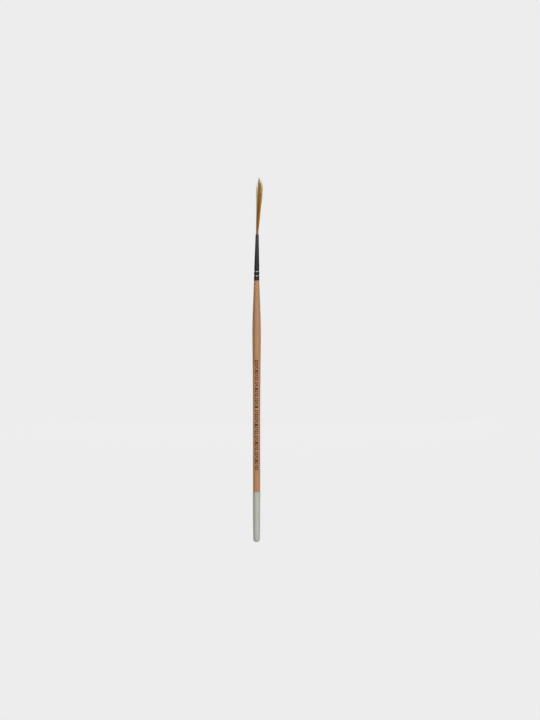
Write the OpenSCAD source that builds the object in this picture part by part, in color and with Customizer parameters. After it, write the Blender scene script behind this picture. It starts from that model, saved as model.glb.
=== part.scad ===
// Fine detail brush: a long striping tuft set in a tapered metal ferrule, on a slim
// turned wooden handle whose rear end is dipped in paint.
//
// The brush stands hair up along +Z. The origin is on the handle's axis, at the fattest
// part of the handle, where two fingers and a thumb hold it. The printed side faces -Y.
// Heights in the handle's modules count up from the butt. The head's modules count from
// the handle's shoulder, and the free hair's from the ferrule's mouth.

/* [Handle] */
// Length of handle from the butt to the ferrule's rear rim
handle_length = 132.8; // [110:0.1:160]
// Diameter of the straight shank
shank_d = 3.65; // [3:0.05:5]
// Height above the butt at which the straight shank begins
shank_start = 31; // [28:0.5:34]
// Length of the straight shank
shank_length = 26; // [10:0.5:30]
// Diameter of the belly, the fattest part of the handle
belly_d = 4.3; // [3.8:0.05:6]
// Distance from the belly back from the ferrule's rear rim
belly_setback = 27.8; // [22:0.1:34]
// How far the wood stands below the ferrule's rear rim
neck_step = 0.03; // [0:0.01:0.1]
// Diameter of the wood just above the rounded butt
butt_d = 3.22; // [2.8:0.02:3.6]
// Radius of the rounding at the butt
butt_round = 1.4; // [0.8:0.05:1.5]

/* [Paint dip] */
// Height of the paint dip's edge above the butt
dip_height = 25.5; // [15:0.5:27]
// Thickness of the dried paint
dip_film = 0.08; // [0.04:0.01:0.2]

/* [Printed marks] */
// Height of the first mark above the butt
marks_start = 36.8; // [32:0.1:45]
// Number of marks in each group, from the butt end
group_marks = [9, 7, 12, 5, 7, 10]; // [1:1:14]
// Lengths of the marks along the handle, repeated in this order
mark_lengths = [0.45, 0.9, 0.4, 0.7, 1.0, 0.45, 0.6, 0.8]; // [0.3:0.05:1.2]
// Space between two marks
mark_space = 0.4; // [0.3:0.05:0.6]
// Width of the marks around the handle
mark_width = 1.6; // [1:0.1:2.4]
// Width of the slot that splits every second mark
mark_slot = 0.3; // [0.2:0.05:0.6]
// Extra space between two groups
group_space = 0.6; // [0.3:0.05:1.5]
// Thickness of the ink
ink_film = 0.02; // [0.01:0.005:0.04]

/* [Ferrule] */
// Length of the ferrule
ferrule_length = 23.6; // [20:0.1:32]
// Diameter of the ferrule at its rear rim
ferrule_rear_d = 2.74; // [2.7:0.02:3.5]
// Diameter of the ferrule at its mouth
ferrule_mouth_d = 1.66; // [1.4:0.02:2.2]
// Wall of the drawn tube
ferrule_wall = 0.22; // [0.15:0.01:0.25]
// Length of the straight collar behind the taper
collar_length = 3.4; // [2.5:0.1:5]
// Distance from the rear rim to the middle of the first crimp ring
first_crimp = 2.7; // [1.5:0.1:3]
// Distance from one crimp ring to the next
crimp_pitch = 2.2; // [1.5:0.1:3]
// Number of crimp rings
crimp_count = 2; // [1:1:3]
// Width of a crimp ring
crimp_width = 1.1; // [0.8:0.1:1.4]
// Depth of a crimp ring
crimp_depth = 0.26; // [0.05:0.01:0.3]
// Angle by which the head leans from the handle's axis, in degrees
head_lean = 0.7; // [0:0.1:1]

/* [Tenon and glue] */
// Space between the tenon's end and the resin
tenon_gap = 0.6; // [0.2:0.1:2]
// Thickness of the glue between tenon and ferrule
glue_film = 0.03; // [0.02:0.01:0.06]
// Seam left between the handle's shoulder and the ferrule's rim
rim_seam = 0.03; // [0.03:0.01:0.1]

/* [Hair inside the ferrule] */
// Clearance round the bundle of hair in the ferrule's mouth
bundle_fit = 0.04; // [0.02:0.01:0.1]
// Thickness of the resin behind the ends of the roots
resin_heel = 1.4; // [0.5:0.1:2]
// Length of the resin plug
resin_length = 8.2; // [7.5:0.1:9]
// Distance from the ferrule's mouth back to the resin's front
resin_setback = 0.8; // [0.4:0.1:1.5]
// Diameter of the binding thread
thread_d = 0.1; // [0.06:0.01:0.12]
// Turns of binding thread
thread_turns = 8; // [4:1:12]
// Distance from the root ends to the binding
binding_setback = 1; // [0.5:0.1:1.5]

/* [Free hair] */
// Length of the hair outside the ferrule
tuft_length = 28.6; // [18:0.1:36]
// Diameter of the tuft where it is widest
tuft_belly_d = 2.4; // [1.6:0.05:3.5]
// Distance from the ferrule's mouth to the widest part of the tuft
tuft_belly_height = 20; // [13:0.5:24]
// Diameter of the blunt end of the tuft's outline
tuft_tip_d = 0.5; // [0.3:0.05:0.8]
// Distance from the ferrule's mouth to the place about which the tuft bends
bend_height = 8; // [5:0.5:10]
// Clearance between the stiff root of the tuft and the part that bends
bend_gap = 0.12; // [0.08:0.01:0.2]
// Angle by which the tuft leans from the ferrule's axis, in degrees
tuft_lean = 1.8; // [0:0.1:3]

/* [Hidden] */
$fn = 64;

wood_colour = "#b3886a";
dip_colour = "#b9b9ac";
ink_colour = "#3c2a20";
ferrule_colour = "#38362f";
glue_colour = "#d9cfa6";
resin_colour = "#c8b37a";
hair_colour = "#8a5c2a";
thread_colour = "#e6ddc8";

// The handle's outline
grip_height = handle_length - belly_setback;
shank_end = shank_start + shank_length;
butt_centre = dip_film + butt_round;
butt_flat_r = butt_d / 2 - butt_round;
neck_d = ferrule_rear_d - 2 * neck_step;
butt_steps = 8;
taper_steps = 8;
taper_power = 1.6;
rise_steps = 18;
rise_power = 2;
rise_crest = 1 / 6;
fall_steps = 16;
fall_bend = 0.46;

// The ferrule's outline
sweep_steps = 10;
sweep_power = 1.1;
crimp_steps = 12;
crimps_end = first_crimp + (crimp_count - 1) * crimp_pitch + crimp_width / 2;
resin_front = ferrule_length - resin_setback;
resin_rear = resin_front - resin_length;
tenon_length = resin_rear - tenon_gap;
tenon_sink = 0.4;

// The hair's outline
bundle_d = ferrule_mouth_d - 2 * ferrule_wall - 2 * bundle_fit;
root_end = resin_rear + resin_heel;
binding_start = root_end + binding_setback;
swell_steps = 14;
swell_power = 1.25;
swell_crest = 0.15;
close_steps = 10;
cup_angle = 50;
cup_steps = 6;

// A curve from 0 to 1 that starts like a power and ends level
function swell(t, power, crest) = pow(t, power) * (1 + crest - crest * pow(t, power / crest));

// A curve from 0 to 1 that starts level and goes straight on after its bend
function bend_then_straight(t, bend) =
    (t < bend ? t * t / (2 * bend) : t - bend / 2) / (1 - bend / 2);

function mix(a, b, t) = a + (b - a) * t;

// Radius of an outline of [radius, height] points at a height
function radius_at(outline, height) = lookup(height, [for (p = outline) [p[1], p[0]]]);

function below(outline, height) = [for (p = outline) if (p[1] < height) p];

function between(outline, low, high) = [for (p = outline) if (p[1] > low && p[1] < high) p];

function reversed(points) = [for (i = [len(points) - 1 : -1 : 0]) points[i]];

// Sum of the first few numbers of a list
function total(numbers, count) = count == 0 ? 0 : numbers[count - 1] + total(numbers, count - 1);

function shifted(outline, by) = [for (p = outline) [p[0] + by, p[1]]];

// The rounded butt, moved outwards by a film
function butt_outline(film) = [for (i = [0 : butt_steps])
    let (angle = 90 * i / butt_steps, r = butt_round + film)
    [butt_flat_r + r * sin(angle), butt_centre - r * cos(angle)]];

// The handle's side from the butt to the neck, without the rounding
side_outline = concat(
    [for (i = [1 : taper_steps])
        let (t = i / taper_steps)
        [mix(shank_d, butt_d, pow(1 - t, taper_power)) / 2, mix(butt_centre, shank_start, t)]],
    [for (i = [0 : rise_steps])
        let (t = i / rise_steps)
        [mix(shank_d, belly_d, swell(t, rise_power, rise_crest)) / 2, mix(shank_end, grip_height, t)]],
    [for (i = [1 : fall_steps])
        let (t = i / fall_steps)
        [mix(belly_d, neck_d, bend_then_straight(t, fall_bend)) / 2,
            mix(grip_height, handle_length, t)]]);

wood_outline = concat(butt_outline(0), side_outline);

// How far the crimp rings are pressed in at a distance from the rear rim
function crimp(s) = max([for (i = [0 : crimp_count - 1])
    let (off = abs(s - first_crimp - i * crimp_pitch))
    off < crimp_width / 2 ? crimp_depth * (1 + cos(360 * off / crimp_width)) / 2 : 0]);

// Radius of the drawn tube before it is crimped
function tube_r(s) = s < collar_length ? ferrule_rear_d / 2
    : mix(ferrule_mouth_d, ferrule_rear_d,
        pow(1 - (s - collar_length) / (ferrule_length - collar_length), sweep_power)) / 2;

ferrule_outline = concat(
    [[tube_r(0), 0]],
    [for (i = [0 : crimp_count - 1], j = [0 : crimp_steps])
        let (s = first_crimp + i * crimp_pitch + crimp_width * (j / crimp_steps - 0.5))
        [tube_r(s) - crimp(s), s]],
    [for (i = [1 : sweep_steps])
        let (s = mix(crimps_end, ferrule_length, i / sweep_steps))
        [tube_r(s), s]]);

bore_outline = shifted(ferrule_outline, -ferrule_wall);
tenon_outline = shifted(bore_outline, -glue_film);

// The free hair's outline, counted from the ferrule's mouth
hair_outline = concat(
    [for (i = [0 : swell_steps])
        let (t = i / swell_steps)
        [mix(bundle_d, tuft_belly_d, swell(t, swell_power, swell_crest)) / 2,
            tuft_belly_height * t]],
    [for (i = [1 : close_steps])
        let (angle = 90 * i / close_steps)
        [mix(tuft_tip_d, tuft_belly_d, cos(angle)) / 2,
            mix(tuft_belly_height, tuft_length, sin(angle))]]);

ball_r = radius_at(hair_outline, bend_height);
cup_r = ball_r + bend_gap;
cup_rim = bend_height - cup_r * cos(cup_angle);

// Part of an outline from one height to another, with its own end points
function stretch(outline, low, high) = concat(
    [[radius_at(outline, low), low]],
    between(outline, low, high),
    [[radius_at(outline, high), high]]);

// Puts what is measured from the butt into the brush's frame
module from_butt() {
    translate([0, 0, -grip_height]) children();
}

// Puts what is measured from the ferrule's rear rim in line with the leaning head
module head() {
    from_butt()
        translate([0, 0, handle_length + rim_seam])
            rotate([0, head_lean, 0]) children();
}

// Puts what is measured from the ferrule's mouth in line with the leaning tuft
module free_hair() {
    head()
        translate([0, 0, ferrule_length])
            rotate([0, tuft_lean, 0]) children();
}

module revolve(points) {
    rotate_extrude() polygon(points);
}

// Turned handle with the tenon that goes into the ferrule
module handle_wood() {
    color(wood_colour) {
        from_butt() revolve(concat(
            [[0, dip_film]],
            wood_outline,
            [[0, handle_length]]));
        head() revolve(concat(
            [[0, -tenon_sink], [radius_at(tenon_outline, 0), -tenon_sink]],
            stretch(tenon_outline, 0, tenon_length),
            [[0, tenon_length]]));
    }
}

// Paint over the butt and the rear of the handle, with a rounded edge
module dip_coat() {
    edge_r = radius_at(wood_outline, dip_height);
    color(dip_colour)
        from_butt() revolve(concat(
            [[0, dip_film], [0, 0]],
            butt_outline(dip_film),
            shifted(below(side_outline, dip_height - dip_film), dip_film),
            [for (angle = [0 : 30 : 90])
                [edge_r + dip_film * cos(angle), dip_height - dip_film * (1 - sin(angle))]],
            reversed(below(wood_outline, dip_height))));
}

// A patch of ink on the front of the handle, between two distances round the front's middle
module ink(low, high, left, right) {
    degrees = 180 / PI / radius_at(wood_outline, low);
    inside = stretch(wood_outline, low, high);
    rotate([0, 0, -90 + left * degrees])
        rotate_extrude(angle = (right - left) * degrees)
            polygon(concat(inside, reversed(shifted(inside, ink_film))));
}

// Groups of plain bars in a line along the handle. Every second one is split in two, and half
// of the others stop short on the left.
module printed_marks() {
    groups = len(group_marks);
    lengths = [for (i = [0 : total(group_marks, groups) - 1]) mark_lengths[i % len(mark_lengths)]];
    edge = mark_width / 2;
    color(ink_colour)
        from_butt()
            for (group = [0 : groups - 1], mark = [0 : group_marks[group] - 1]) {
                i = total(group_marks, group) + mark;
                low = marks_start + total(lengths, i) + i * mark_space + group * group_space;
                high = low + lengths[i];
                if (i % 2 == 1) {
                    ink(low, high, -edge, -mark_slot / 2);
                    ink(low, high, mark_slot / 2, edge);
                } else {
                    ink(low, high, i % 4 == 0 ? -edge : -edge / 2, edge);
                }
            }
}

// Seamless drawn tube with its rolled crimp rings
module ferrule() {
    color(ferrule_colour)
        head() revolve(concat(ferrule_outline, reversed(bore_outline)));
}

// Glue that fills the space between tenon and ferrule
module tenon_glue() {
    color(glue_colour)
        head() revolve(concat(
            stretch(bore_outline, 0, tenon_length),
            reversed(stretch(tenon_outline, 0, tenon_length))));
}

// Hard resin that locks the roots in the ferrule
module setting_resin() {
    pocket_r = bundle_d / 2 + thread_d;
    color(resin_colour)
        head() difference() {
            revolve(concat(
                [[0, resin_rear]],
                stretch(bore_outline, resin_rear, resin_front),
                [[0, resin_front]]));
            translate([0, 0, root_end]) cylinder(d = bundle_d, h = resin_length);
            translate([0, 0, binding_start])
                cylinder(r = pocket_r, h = thread_turns * thread_d);
        }
}

// The bundle of hair inside the ferrule
module hair_roots() {
    color(hair_colour)
        head()
            translate([0, 0, root_end])
                cylinder(d = bundle_d, h = ferrule_length - root_end);
}

// Thread wound side by side round the bundle before it is set
module root_binding() {
    steps = 6;
    inner_r = bundle_d / 2;
    turns = [for (i = [0 : thread_turns - 1], j = [0 : steps])
        let (angle = 180 * j / steps)
        [inner_r + thread_d * (0.5 + 0.5 * sin(angle)),
            binding_start + thread_d * (i + 0.5 - 0.5 * cos(angle))]];
    color(thread_colour)
        head() revolve(concat(
            [[inner_r, binding_start]],
            turns,
            [[inner_r, binding_start + thread_turns * thread_d]]));
}

// The stiff root of the free hair, with a cup in which the rest bends
module tuft_base() {
    cup = [for (i = [0 : cup_steps])
        let (angle = cup_angle * (1 - i / cup_steps))
        [cup_r * sin(angle), bend_height - cup_r * cos(angle)]];
    color(hair_colour)
        free_hair() revolve(concat(
            [[0, 0]],
            stretch(hair_outline, 0, cup_rim),
            cup));
}

// The hair that bends, with a round root at the place about which it bends
module tuft() {
    steps = 8;
    ball = [for (i = [0 : steps - 1])
        let (angle = 90 * i / steps)
        [ball_r * sin(angle), bend_height - ball_r * cos(angle)]];
    color(hair_colour)
        free_hair() revolve(concat(
            ball,
            stretch(hair_outline, bend_height, tuft_length),
            [[0, tuft_length]]));
}

handle_wood();
dip_coat();
printed_marks();
ferrule();
tenon_glue();
setting_resin();
hair_roots();
root_binding();
tuft_base();
tuft();
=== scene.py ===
"""Fine detail brush: the finishes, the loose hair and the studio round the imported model, in metres."""

import math
import random

import bpy
import numpy as np
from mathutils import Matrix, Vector


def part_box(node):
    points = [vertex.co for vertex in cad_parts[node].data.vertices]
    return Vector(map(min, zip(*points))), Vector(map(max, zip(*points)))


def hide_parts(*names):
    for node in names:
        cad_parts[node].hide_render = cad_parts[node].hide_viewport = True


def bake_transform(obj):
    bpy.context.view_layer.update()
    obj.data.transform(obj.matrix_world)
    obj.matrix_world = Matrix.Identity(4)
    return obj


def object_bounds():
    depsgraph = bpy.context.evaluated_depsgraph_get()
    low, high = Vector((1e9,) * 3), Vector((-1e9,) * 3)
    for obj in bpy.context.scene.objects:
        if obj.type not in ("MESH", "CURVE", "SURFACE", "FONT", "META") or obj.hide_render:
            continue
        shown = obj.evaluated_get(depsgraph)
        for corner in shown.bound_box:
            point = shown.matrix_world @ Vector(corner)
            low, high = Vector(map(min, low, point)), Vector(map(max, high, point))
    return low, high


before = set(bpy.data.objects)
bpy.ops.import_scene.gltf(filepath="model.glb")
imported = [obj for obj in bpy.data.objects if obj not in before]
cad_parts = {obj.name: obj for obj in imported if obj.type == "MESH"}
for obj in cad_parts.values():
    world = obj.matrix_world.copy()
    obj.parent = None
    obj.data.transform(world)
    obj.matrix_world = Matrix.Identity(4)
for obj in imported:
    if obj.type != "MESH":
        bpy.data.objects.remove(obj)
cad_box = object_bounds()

MM = 0.001
GOLDEN_ANGLE = math.pi * (3 - math.sqrt(5))      # spreads the filaments of a lock evenly

FILAMENT_RINGS, FILAMENT_SIDES = 22, 5
HAIR_START = -0.35                               # height of the filaments' roots over the mouth, mm
HAIR_HEIGHT = 28                                 # height of the tuft's tips, mm


def linear(red, green, blue):
    """A display colour from 0 to 255, as the linear colour that shaders take."""
    def channel(value):
        share = value / 255
        return share / 12.92 if share <= 0.04045 else ((share + 0.055) / 1.055) ** 2.4
    return (channel(red), channel(green), channel(blue), 1.0)


def grey(level):
    """A linear grey."""
    return (level, level, level, 1.0)


# ---------------------------------------------------------------- shader maths

class Signal:
    """One output socket. A sum on it adds Math nodes to its finish."""

    def __init__(self, finish, socket):
        self.finish, self.socket = finish, socket

    def maths(self, operation, *values):
        return self.finish.node("Math", {"operation": operation}, dict(enumerate(values)))

    def __add__(self, other):
        return self.maths("ADD", self, other)

    def __sub__(self, other):
        return self.maths("SUBTRACT", self, other)

    def __rsub__(self, other):
        return self.maths("SUBTRACT", other, self)

    def __mul__(self, other):
        return self.maths("MULTIPLY", self, other)

    def __truediv__(self, other):
        return self.maths("DIVIDE", self, other)

    __radd__ = __add__
    __rmul__ = __mul__

    def fraction(self):
        return self.maths("FRACT", self)

    def ramp(self, low, high):
        """0 below low, 1 above high, and smooth between. It falls where low is above high."""
        if low > high:
            return 1 - self.ramp(high, low)
        return self.finish.node(
            "MapRange", {"interpolation_type": "SMOOTHSTEP"},
            {"Value": self, "From Min": low, "From Max": high})


class Finish:
    """A procedural material on one Principled shader, whose constants are set on its own sockets."""

    def __init__(self, name, constants):
        self.material = bpy.data.materials.new(name)
        self.material.use_nodes = True
        self.tree = self.material.node_tree
        self.shader = self.tree.nodes["Principled BSDF"]
        self.feed(constants, self.shader)
        self.place = self.node("TexCoord", out="Object")

    def feed(self, sockets, node=None):
        """Sets or links sockets, on the Principled shader unless a node is given."""
        for name, value in sockets.items():
            socket = (node or self.shader).inputs[name]
            if isinstance(value, Signal):
                self.tree.links.new(value.socket, socket)
            else:
                socket.default_value = value

    def node(self, kind, settings=None, sockets=None, out=0):
        made = self.tree.nodes.new("ShaderNode" + kind)
        for name, value in (settings or {}).items():
            setattr(made, name, value)
        self.feed(sockets or {}, made)
        return Signal(self, made.outputs[out])

    def scaled(self, across, along):
        """The place on the piece, with one scale across the brush and another along it."""
        return self.node("VectorMath", {"operation": "MULTIPLY"},
                         {0: self.place, 1: (across, across, along)})

    def axis(self, name):
        return self.node("SeparateXYZ", None, {"Vector": self.place}, out=name)

    def noise(self, across, along, detail=2.0, rough=0.5, twist=0.0):
        """A cloud of values near 0.5, with so many humps to the metre across the brush and along it."""
        return self.node("TexNoise", None, {
            "Vector": self.scaled(across, along), "Scale": 1.0,
            "Detail": detail, "Roughness": rough, "Distortion": twist})

    def mix(self, share, first, second):
        return self.node("Mix", {"data_type": "RGBA"}, {0: share, 6: first, 7: second}, out=2)

    def reading(self, name):
        """A number that the mesh keeps at each of its vertices."""
        return self.node("Attribute", {"attribute_name": name}, out="Fac")

    def relief(self, height, depth, strength=1.0):
        return self.node("Bump", None, {
            "Height": height, "Distance": depth, "Strength": strength})


# ---------------------------------------------------------------- finishes

def wood_grain(finish):
    """Growth rings, fibres and pores of the straight-grained blank that the handle was turned from."""
    ring_pitch, slant = 1.15 * MM, 0.6
    wander = finish.noise(60, 14, 3.0, 0.5)
    slow = finish.noise(30, 5, 1.0, 0.4)
    ring = ((finish.axis("X") * math.cos(slant) + finish.axis("Y") * math.sin(slant)) / ring_pitch
            + wander * 0.9 + slow * 2.2).fraction()
    late_wood = ring.ramp(0.35, 0.9) * ring.ramp(1.0, 0.93)
    fibres = finish.noise(2300, 42, 4.0, 0.62)
    pores = finish.noise(6200, 230, 2.0, 0.5).ramp(0.62, 0.74)
    flecks = finish.noise(3100, 330, 1.0, 0.5).ramp(0.70, 0.80)
    return late_wood, fibres, pores, flecks, slow


def wood_colour(finish, grain):
    late_wood, fibres, pores, flecks, slow = grain
    pale, warm = linear(197, 145, 97), linear(182, 128, 80)
    colour = finish.mix(fibres.ramp(0.3, 0.72), pale, warm)
    colour = finish.mix(late_wood * 0.34, colour, linear(168, 110, 69))
    colour = finish.mix(slow.ramp(0.42, 0.62) * 0.35, colour, linear(198, 141, 94))
    colour = finish.mix(pores * 0.42, colour, linear(128, 84, 56))
    return finish.mix(flecks * 0.3, colour, linear(150, 98, 66))


def lacquered_wood():
    finish = Finish("satin_lacquered_wood", {
        "IOR": 1.46, "Specular IOR Level": 0.35, "Coat Roughness": 0.32, "Coat IOR": 1.45})
    grain = wood_grain(finish)
    late_wood, fibres, pores, flecks, _ = grain
    handled = finish.noise(420, 90, 3.0, 0.6)
    finish.feed({
        "Base Color": finish.mix(handled.ramp(0.55, 0.75) * 0.12,
                                 wood_colour(finish, grain), linear(152, 106, 72)),
        "Roughness": 0.5 + (fibres - 0.5) * 0.2 + pores * 0.15,
        "Coat Weight": 0.16 + handled.ramp(0.35, 0.65) * 0.12 - pores * 0.12,
        "Normal": finish.relief(fibres * 0.35 - pores - flecks * 0.4 - late_wood * 0.12,
                                0.012 * MM, 0.8)})
    return finish.material


def dip_enamel():
    """Sage-grey enamel that the handle's end was dipped in."""
    low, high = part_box("dip_coat")
    finish = Finish("sage_grey_dip_enamel", {"IOR": 1.5, "Coat Roughness": 0.22, "Coat IOR": 1.5})
    above_butt = finish.axis("Z") - low.z
    mottle = finish.noise(260, 120, 3.0, 0.55)
    runs = finish.noise(900, 60, 2.0, 0.5)
    peel = finish.noise(3800, 3200, 1.0, 0.4)
    scuffs = finish.noise(2600, 700, 4.0, 0.7, 0.6).ramp(0.63, 0.72)
    worn = scuffs * above_butt.ramp(7 * MM, 0.5 * MM)
    lip = above_butt.ramp(high.z - low.z - 1.1 * MM, high.z - low.z)
    colour = finish.mix(mottle.ramp(0.3, 0.7), linear(195, 195, 181), linear(190, 190, 177))
    colour = finish.mix(above_butt.ramp(15 * MM, 3 * MM) * 0.6, colour, linear(193, 192, 188))
    colour = finish.mix(runs.ramp(0.45, 0.7) * 0.25, colour, linear(184, 186, 173))
    colour = finish.mix(lip * 0.3, colour, linear(172, 173, 160))
    colour = finish.mix(worn * 0.55, colour, linear(212, 209, 197))
    finish.feed({
        "Base Color": colour,
        "Roughness": 0.4 + (mottle - 0.5) * 0.2 + worn * 0.25,
        "Coat Weight": 0.35 - worn * 0.3,
        "Normal": finish.relief(peel * 0.4 + runs * 0.8 - worn * 0.5, 0.012 * MM, 0.6)})
    return finish.material


def printing_ink():
    """Matt brown-black ink, rubbed thin over the grain in places."""
    finish = Finish("brown_black_printing_ink", {"IOR": 1.45, "Specular IOR Level": 0.25})
    grain = wood_grain(finish)
    rubbed = finish.noise(1500, 900, 4.0, 0.65).ramp(0.5, 0.68)
    patchy = finish.noise(520, 60, 2.0, 0.5).ramp(0.4, 0.66)
    thin = rubbed * (0.06 + patchy * 0.2)
    ink = finish.mix(patchy * 0.6, linear(40, 20, 12), linear(62, 35, 22))
    finish.feed({
        "Base Color": finish.mix(thin, ink, wood_colour(finish, grain)),
        "Roughness": 0.62 - thin * 0.1,
        "Normal": finish.relief(finish.noise(5200, 1400, 2.0, 0.5) - thin * 0.6, 0.006 * MM, 0.7)})
    return finish.material


def black_plating():
    """Black-plated tube: soft gloss, drawing marks along it, greyer at the mouth, bare metal on its rims."""
    low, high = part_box("ferrule")
    finish = Finish("black_plated_ferrule", {"IOR": 1.5})
    above_rim = finish.axis("Z") - low.z
    drawn = finish.noise(9000, 130, 3.0, 0.55)
    smudges = finish.noise(520, 300, 3.0, 0.55)
    scratches = finish.noise(5200, 420, 2.0, 0.6, 0.8).ramp(0.71, 0.77)
    length = high.z - low.z
    rims = above_rim.ramp(0.16 * MM, 0.0) + above_rim.ramp(length - 0.6 * MM, length - 0.1 * MM)
    bare = rims * finish.noise(3300, 3300, 3.0, 0.6).ramp(0.36, 0.54)
    colour = finish.mix(smudges.ramp(0.35, 0.65), linear(18, 18, 17), linear(25, 25, 23))
    # Lighter grey that grows towards the mouth, from a little below the tube's middle.
    paler = above_rim.ramp(length * 0.45, length)
    colour = finish.mix(paler * 0.8, colour, linear(58, 59, 53))
    colour = finish.mix(scratches * 0.3, colour, linear(70, 68, 65))
    finish.feed({
        "Base Color": finish.mix(bare * 0.75, colour, linear(168, 160, 146)),
        "Metallic": bare * 0.8,
        "Roughness": 0.27 + (smudges - 0.5) * 0.08 + scratches * 0.05 + (drawn - 0.5) * 0.04,
        "Normal": finish.relief(drawn - scratches * 0.4, 0.0015 * MM, 0.4)})
    return finish.material


def filament(name, root, belly, tip, tip_from):
    """Tapered filaments: a colour of each one's own, more golden on the right as painted side light, and a
    slow change from root to tip.
    """
    finish = Finish(name, {"IOR": 1.52, "Specular IOR Level": 0.16})
    tone, along = finish.reading("filament_tone_and_side_light"), finish.reading("filament_along")
    streak = finish.noise(2500, 180, 2.0, 0.6)
    # The golden share is partly each filament's own colour and partly painted side light: filaments on the
    # right were set more golden to stand in for light from the right.
    golden = (tone + along * 0.5 - 0.22 + (streak - 0.5) * 0.5).ramp(0.15, 0.85)
    colour = finish.mix(golden, root, belly)
    colour = finish.mix(along.ramp(tip_from, 1.0) * 0.85, colour, tip)
    finish.feed({
        "Base Color": colour,
        "Roughness": 0.36 + (streak - 0.5) * 0.2,
        "Normal": finish.relief(finish.noise(3000, 1600, 1.0, 0.5), 0.003 * MM, 0.5)})
    return finish.material


def bundled_roots():
    finish = Finish("bundled_hair_roots", {"IOR": 1.5})
    strands = finish.noise(9000, 70, 3.0, 0.6)
    finish.feed({
        "Base Color": finish.mix(strands.ramp(0.35, 0.65), linear(96, 58, 26), linear(146, 98, 48)),
        "Roughness": 0.45 + (strands - 0.5) * 0.3,
        "Normal": finish.relief(strands, 0.02 * MM)})
    return finish.material


def clear_amber(name, deep, light, bubbles_share):
    """Set glue or resin: cloudy amber with fine bubbles."""
    finish = Finish(name, {"IOR": 1.52, "Coat Weight": 0.3, "Coat Roughness": 0.15})
    cloud = finish.noise(900, 500, 3.0, 0.55)
    bubbles = finish.node("TexVoronoi", None, {
        "Vector": finish.scaled(1, 1), "Scale": 5200.0}, out="Distance").ramp(0.22, 0.12)
    finish.feed({
        "Base Color": finish.mix(cloud.ramp(0.35, 0.65) * (1 - bubbles * bubbles_share),
                                 deep, light),
        "Roughness": 0.25 + cloud * 0.2,
        "Normal": finish.relief(cloud * 0.4 - bubbles * bubbles_share, 0.02 * MM)})
    return finish.material


def waxed_thread():
    finish = Finish("waxed_binding_thread", {"IOR": 1.5})
    fuzz = finish.noise(7000, 7000, 3.0, 0.6)
    ply = ((finish.axis("X") + finish.axis("Y")) / (0.07 * MM) + finish.axis("Z") / (0.05 * MM)
           ).fraction().ramp(0.2, 0.9)
    finish.feed({
        "Base Color": finish.mix(fuzz, linear(214, 205, 184), linear(176, 164, 140)),
        "Roughness": 0.6 + (fuzz - 0.5) * 0.3,
        "Normal": finish.relief(ply + fuzz * 0.4, 0.012 * MM)})
    return finish.material


def dress(node, material):
    """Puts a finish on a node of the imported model, whose shape stays as it is."""
    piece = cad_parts[node]
    if not piece.material_slots:
        piece.data.materials.append(material)
    for place in piece.material_slots:
        place.material = material


# ---------------------------------------------------------------- hair

class Profile:
    """A value that changes with the height above the ferrule's mouth, through given points in millimetres."""

    def __init__(self, *points):
        self.heights, self.values = zip(*points)

    def __call__(self, height):
        return np.interp(height, self.heights, self.values)


LEFT_EDGE = Profile((-1, -0.54), (0, -0.54), (2, -0.52), (7, -0.42), (12, -0.12), (17, 0.28),
                    (20, 0.36), (22, 0.38), (25, 0.46), (27.5, 0.52), (29, 0.60))
RIGHT_EDGE = Profile((-1, 0.54), (0, 0.54), (2, 0.68), (7, 1.26), (12, 1.74), (17, 2.20),
                     (20, 2.20), (22, 2.15), (25, 2.00), (27.5, 1.75), (29, 1.35))
DEPTH = Profile((-1, 0.54), (0, 0.54), (4, 0.64), (10, 0.86), (17, 1.06), (21, 1.06),
                (25, 0.80), (29, 0.35))


class Lock:
    """A group of filaments that draws together into a point of its own."""

    def __init__(self, across, deep, share, tip, tone, gather, width):
        self.across, self.deep = across, deep        # place in the bundle, from -1 to 1
        self.share = share                           # filaments in it
        self.tip = tip                               # across, deep and height of its point, mm
        self.tone = tone                             # 0 reddish brown, 1 golden; set higher on the right as painted side light
        self.gather = gather                         # height at which it starts to draw together, mm
        self.width = width                           # reach of its filaments round it, of the bundle


def filament_path(lock, offset, reach, wave, heights):
    """Centre line of one filament, in millimetres from the middle of the ferrule's mouth."""
    centre = (LEFT_EDGE(heights) + RIGHT_EDGE(heights)) / 2
    half = (RIGHT_EDGE(heights) - LEFT_EDGE(heights)) / 2
    across = np.clip(lock.across + offset[0] * lock.width, -1, 1)
    deep = np.clip(lock.deep + offset[1] * lock.width, -1, 1)
    over = max(1.0, math.hypot(across, deep))
    x = centre + half * across / over
    y = DEPTH(heights) * deep / over
    share = np.clip((heights - lock.gather) / (lock.tip[2] - lock.gather), 0, 1)
    pull = share ** 2 * (3 - 2 * share)
    x = x + (lock.tip[0] + offset[0] * 0.24 - x) * pull
    y = y + (lock.tip[1] + offset[1] * 0.18 - y) * pull
    lift = np.clip(heights / reach, 0, 1)
    x = x + wave[0] * lift ** 2 + 0.03 * lift * np.sin(heights * wave[2] + wave[3])
    y = y + wave[1] * lift ** 2 + 0.03 * lift * np.cos(heights * wave[2] + wave[3])
    return x, y


def filament_tube(points, radii, sides):
    """Rings of a closed, tapered tube along points, and its faces."""
    rings = len(points)
    turn = np.linspace(0, 2 * math.pi, sides, endpoint=False)
    ring = np.stack([np.cos(turn), np.sin(turn), np.zeros(sides)], 1)
    vertices = (points[:, None, :] + ring[None] * radii[:, None, None]).reshape(-1, 3)
    faces = []
    for row in range(rings - 1):
        base = row * sides
        for side in range(sides):
            after = (side + 1) % sides
            faces.append((base + side, base + after, base + after + sides, base + side + sides))
    faces.append(tuple(range(sides - 1, -1, -1)))
    faces.append(tuple((rings - 1) * sides + side for side in range(sides)))
    return vertices, faces


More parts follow.
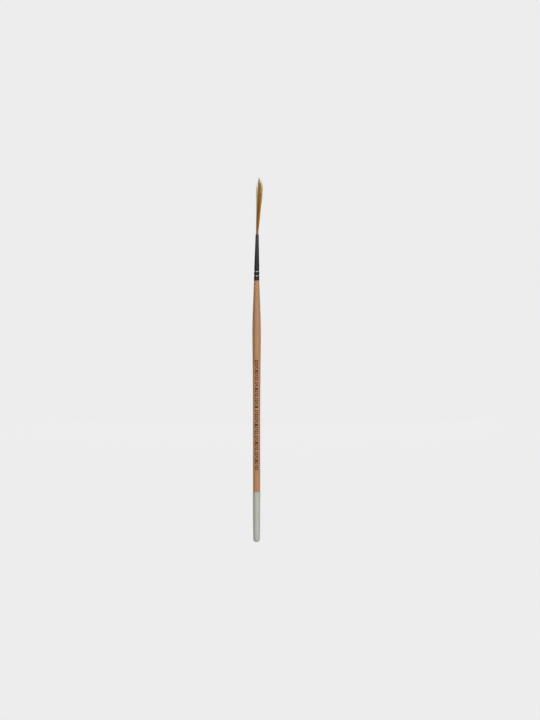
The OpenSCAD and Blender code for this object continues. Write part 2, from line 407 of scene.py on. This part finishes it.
def hair_piece(name, locks, mouth, thickness, draw, spread=1.0, ends=(0.0, 1.5)):
    """One mesh of separate filaments, from just inside the ferrule's mouth to each one's own end,
    which lies below its lock's point by a distance drawn between ends, in millimetres."""
    full_share, root_width, tip_loss = 0.6, 0.86, 0.86   # of the length, and twice of the thickness
    vertices, faces, tones_and_side_light, alongs = [], [], [], []
    for lock in locks:
        for number in range(lock.share):
            out = math.sqrt((number + 0.5) / lock.share)
            turn = number * GOLDEN_ANGLE + lock.across * 5
            offset = (out * math.cos(turn), out * math.sin(turn))
            reach = lock.tip[2] - draw.uniform(*ends) * (0.3 + out * 0.7)
            wave = (draw.gauss(0, 0.05) * spread, draw.gauss(0, 0.05) * spread,
                    draw.uniform(0.25, 0.6), draw.uniform(0, 6.28))
            heights = np.linspace(HAIR_START, reach, FILAMENT_RINGS)
            x, y = filament_path(lock, offset, reach, wave, heights)
            along = np.clip(heights / reach, 0, 1)
            swell = np.sin(along / full_share * math.pi / 2)
            narrow = np.clip((along - full_share) / (1 - full_share), 0, 1) ** 1.5
            taper = np.where(along < full_share, root_width + (1 - root_width) * swell,
                             1 - tip_loss * narrow)
            radii = taper * thickness / 2 * draw.uniform(0.85, 1.12)
            points = np.stack([x, y, heights], 1)
            tube, tube_faces = filament_tube(points, radii, FILAMENT_SIDES)
            first = sum(len(earlier) for earlier in vertices)
            vertices.append(tube)
            faces += [tuple(first + corner for corner in face) for face in tube_faces]
            # Each filament's colour value: its lock's, which is more golden on the right as painted side
            # light, with a random part of its own.
            tone = min(1.0, max(0.0, lock.tone + draw.gauss(0, 0.13)))
            tones_and_side_light.append(np.full(len(tube), tone))
            alongs.append(np.repeat(along, FILAMENT_SIDES))
    return hair_mesh(name, np.concatenate(vertices), faces, mouth,
                     np.concatenate(tones_and_side_light), np.concatenate(alongs))


def hair_mesh(name, vertices, faces, mouth, tones_and_side_light, alongs):
    """A piece from vertices in millimetres, which keeps the colour value, with its painted side light, and
    the place along the hair of each.
    """
    mesh = bpy.data.meshes.new(name)
    mesh.from_pydata((vertices * MM + np.array(mouth)).tolist(), [], faces)
    for label, values in (("filament_tone_and_side_light", tones_and_side_light), ("filament_along", alongs)):
        kept = mesh.attributes.new(label, "FLOAT", "POINT")
        kept.data.foreach_set("value", values.astype(np.float32))
    mesh.shade_smooth()
    mesh.update()
    piece = bpy.data.objects.new(name, mesh)
    bpy.context.scene.collection.objects.link(piece)
    return piece


def core_piece(name, mouth):
    """Packed middle of the tuft: a closed form with flutes like strands, which ends where the locks part."""
    rings, sides = 48, 60
    low, full, high = -0.3, 13.0, 23.0           # its foot, where it starts to close, and its top, mm
    fill, closed = 0.80, 0.998                   # share of the tuft's width, and of that lost at the top
    heights = np.linspace(low, high, rings)[:, None]
    turn = np.linspace(0, 2 * math.pi, sides, endpoint=False)[None, :]
    close = np.clip((heights - full) / (high - full), 0, 1)
    flutes = 1 + 0.035 * np.cos(15 * turn) + 0.03 * np.cos(11 * turn + heights * 0.12 + 1)
    share = fill * flutes * np.sqrt(1 - closed * close ** 2)
    half = (RIGHT_EDGE(heights) - LEFT_EDGE(heights)) / 2
    x = (RIGHT_EDGE(heights) + LEFT_EDGE(heights)) / 2 + half * share * np.cos(turn)
    y = DEPTH(heights) * share * np.sin(turn)
    vertices = np.stack([x, y, heights + 0 * turn], 2).reshape(-1, 3)
    faces = [(row * sides + side, row * sides + (side + 1) % sides,
              (row + 1) * sides + (side + 1) % sides, (row + 1) * sides + side)
             for row in range(rings - 1) for side in range(sides)]
    faces.append(tuple(range(sides - 1, -1, -1)))
    faces.append(tuple((rings - 1) * sides + side for side in range(sides)))
    # More golden towards +x, the right side: painted side light, with no random part.
    tones_and_side_light = (0.34 + 0.3 * np.cos(turn) + 0 * heights).reshape(-1)
    alongs = (heights / HAIR_HEIGHT + 0 * turn).clip(0, 1).reshape(-1)
    return hair_mesh(name, vertices, faces, mouth, tones_and_side_light, alongs)


def lay_hair():
    """The whole tuft, in place of the plain solids tuft_base and tuft."""
    draw = random.Random(28)
    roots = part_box("hair_roots")[1]              # its reach in y is the bundle's radius
    mouth = Vector((roots.x - roots.y, 0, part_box("ferrule")[1].z - 0.01 * MM))

    # The fifth number of each lock rises towards the right, with its first number: painted side light, with
    # some random spread.
    body = [
        Lock(-0.50, 0.05, 30, (0.56, 0.05, 27.6), 0.32, 19, 0.50),
        Lock(-0.20, -0.45, 34, (0.80, -0.10, 28.8), 0.22, 19, 0.52),
        Lock(0.02, 0.40, 32, (1.02, 0.15, 29.3), 0.28, 19, 0.52),
        Lock(0.20, -0.30, 34, (1.26, -0.08, 28.4), 0.38, 19, 0.52),
        Lock(0.48, 0.30, 32, (1.68, 0.10, 27.8), 0.62, 19, 0.50),
        Lock(0.62, -0.22, 32, (1.92, -0.10, 27.0), 0.80, 19, 0.42),
        Lock(-0.62, -0.35, 24, (0.44, -0.20, 26.8), 0.36, 19, 0.40),
        Lock(-0.35, 0.62, 22, (0.70, 0.28, 27.0), 0.25, 19, 0.42),
        Lock(0.30, 0.70, 20, (1.50, 0.32, 26.8), 0.55, 19, 0.40),
        Lock(0.25, -0.75, 22, (1.20, -0.34, 27.3), 0.45, 19, 0.40),
    ]
    pale = [
        Lock(0.88, 0.05, 34, (2.78, 0.06, 26.6), 0.7, 13, 0.16),
        Lock(0.80, -0.25, 22, (2.44, -0.15, 27.2), 0.6, 15, 0.2),
        Lock(0.70, 0.35, 16, (2.14, 0.25, 28.0), 0.6, 18, 0.2),
        Lock(-0.94, 0.0, 12, (-0.40, 0.02, 26.8), 0.6, -4, 0.16),
        Lock(-0.90, -0.25, 15, (-0.20, -0.16, 25.0), 0.6, -4, 0.2),
        Lock(-0.88, 0.25, 14, (0.02, 0.18, 26.2), 0.6, -2, 0.2),
        Lock(-0.84, -0.1, 12, (0.16, -0.05, 23.0), 0.5, -2, 0.22),
    ]
    strays = [
        Lock(-0.80, 0.3, 2, (-0.60, 0.5, 23.0), 0.4, 12, 0.2),
        Lock(0.85, 0.3, 3, (2.95, 0.3, 25.0), 0.6, 13, 0.2),
        Lock(0.10, -0.8, 3, (0.8, -1.1, 24.8), 0.4, 12, 0.3),
        Lock(0.0, 0.85, 3, (0.7, 1.15, 24.2), 0.4, 12, 0.3),
        Lock(0.55, -0.1, 2, (1.10, 0.0, 29.2), 0.7, 18, 0.1),
    ]
    golden = filament("golden_brown_filament", linear(168, 102, 38), linear(214, 164, 58),
                      linear(214, 192, 128), 0.8)
    paler = filament("faded_filament_ends", linear(186, 144, 82), linear(202, 178, 118),
                     linear(214, 206, 180), 0.5)
    pieces = [
        (hair_piece("tuft_hair", body, mouth, 0.095, draw), golden),
        (hair_piece("tuft_pale_hair", pale, mouth, 0.06, draw, ends=(0.0, 3.5)), paler),
        (hair_piece("tuft_stray_hair", strays, mouth, 0.05, draw, spread=2.0), paler),
        (core_piece("tuft_core_hair", mouth), golden),
    ]
    for piece, finish in pieces:
        piece.data.materials.append(finish)
        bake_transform(piece)
    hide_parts("tuft_base", "tuft")


# ---------------------------------------------------------------- studio

def backdrop():
    """Pale floor that rises into a wall all round, so that it has no edge in any view."""
    floor, flat, bend, top, sides = cad_box[0].z, 1.25, 0.55, 1.9, 72
    profile = [(radius, floor) for radius in (0.0, 0.06, 0.3, 0.8, flat)]
    profile += [(flat + bend * math.sin(angle), floor + bend * (1 - math.cos(angle)))
                for angle in (math.radians(degrees) for degrees in range(10, 91, 10))]
    profile.append((flat + bend, top))
    vertices = [(0.0, 0.0, floor)]
    for radius, height in profile[1:]:
        vertices += [(radius * math.cos(turn), radius * math.sin(turn), height)
                     for turn in (2 * math.pi * n / sides for n in range(sides))]
    faces = [(0, 1 + n, 1 + (n + 1) % sides) for n in range(sides)]
    for row in range(len(profile) - 2):
        base = 1 + row * sides
        faces += [(base + n, base + sides + n,
                   base + sides + (n + 1) % sides, base + (n + 1) % sides) for n in range(sides)]
    mesh = bpy.data.meshes.new("studio_floor")
    mesh.from_pydata(vertices, [], faces)
    mesh.shade_smooth()
    stage = bpy.data.objects.new("studio_floor", mesh)
    bpy.context.scene.collection.objects.link(stage)

    finish = Finish("pale_studio_paper", {"Roughness": 0.95, "Specular IOR Level": 0.0,
                                          "Emission Strength": 1.0})
    paper = finish.noise(2.0, 2.0, 1.0, 0.4)
    finish.feed({
        "Base Color": grey(0.004),
        "Emission Color": finish.mix(paper, grey(0.843), grey(0.847))})
    mesh.materials.append(finish.material)
    stage.visible_diffuse = stage.visible_glossy = stage.visible_shadow = False


def lamp(name, azimuth, elevation, distance, size, watts, lights=("diffuse", "glossy")):
    """A soft box aimed at the middle of the brush. Azimuth 0 is in front of it and 90 to its right.
    It can light matt surfaces only, or show only in glossy ones."""
    middle = (cad_box[0] + cad_box[1]) / 2
    turn, lift = math.radians(azimuth), math.radians(elevation)
    away = Vector((math.sin(turn) * math.cos(lift), -math.cos(turn) * math.cos(lift),
                   math.sin(lift)))
    light = bpy.data.lights.new(name, "AREA")
    light.shape, light.size, light.size_y = "RECTANGLE", size[0], size[1]
    light.energy = watts
    holder = bpy.data.objects.new(name, light)
    holder.location = middle + away * distance
    holder.rotation_mode = "QUATERNION"
    holder.rotation_quaternion = away.to_track_quat("Z", "Y")
    holder.visible_camera = False
    holder.visible_diffuse = "diffuse" in lights
    holder.visible_glossy = "glossy" in lights
    bpy.context.scene.collection.objects.link(holder)


def light_studio():
    world = bpy.data.worlds.new("studio_air")
    bpy.context.scene.world = world
    world.use_nodes = True
    air = world.node_tree.nodes["Background"].inputs
    air["Color"].default_value, air["Strength"].default_value = grey(1.0), 0.2
    lamp("key_soft_box", 54, 12, 1.3, (1.5, 1.7), 3.3)
    lamp("key_scrim", 54, 12, 1.34, (1.55, 1.75), 9.6, ("diffuse",))
    lamp("fill_soft_box", -35, 8, 1.3, (1.3, 1.6), 1.4)
    lamp("fill_scrim", -28, 8, 1.34, (1.2, 1.65), 4.4, ("diffuse",))
    lamp("table_bounce", 0, -60, 1.0, (1.2, 1.2), 3.2, ("diffuse",))
    lamp("overhead_glint", 10, 60, 0.9, (0.8, 1.0), 44, ("glossy",))
    lamp("back_scrim", 180, 10, 1.32, (0.6, 1.2), 9.0, ("diffuse",))
    lamp("front_strip", -4, 0, 1.2, (0.16, 1.5), 2.0, ("glossy",))


def set_camera():
    """Straight in front, level with the brush's middle and a little to the right of it."""
    low, high = cad_box
    lens, sensor = 90.0, 36.0
    brush_share, aside_share = 364 / 720, 13.4 / 720   # of the picture's height
    picture_height = (high.z - low.z) / brush_share
    aside = aside_share * picture_height
    camera = bpy.data.cameras.new("camera")
    camera.lens, camera.sensor_width = lens, sensor
    camera.clip_start, camera.clip_end = 0.01, 20
    holder = bpy.data.objects.new("camera", camera)
    holder.location = (aside, -picture_height * lens / sensor, (low.z + high.z) / 2)
    holder.rotation_euler = (math.pi / 2, 0, 0)
    bpy.context.scene.collection.objects.link(holder)
    bpy.context.scene.camera = holder
    bpy.context.scene.view_settings.view_transform = "Standard"


# ---------------------------------------------------------------- make

set_camera()
dress("handle_wood", lacquered_wood())
dress("dip_coat", dip_enamel())
dress("printed_marks", printing_ink())
dress("ferrule", black_plating())
dress("hair_roots", bundled_roots())
dress("tenon_glue", clear_amber("set_tenon_glue", linear(170, 120, 58), linear(206, 168, 104), 0.5))
dress("setting_resin", clear_amber("set_hair_resin", linear(112, 68, 26), linear(150, 100, 44), 0.8))
dress("root_binding", waxed_thread())
for soft in ("tuft_base", "tuft"):
    dress(soft, bundled_roots())
lay_hair()
backdrop()
light_studio()
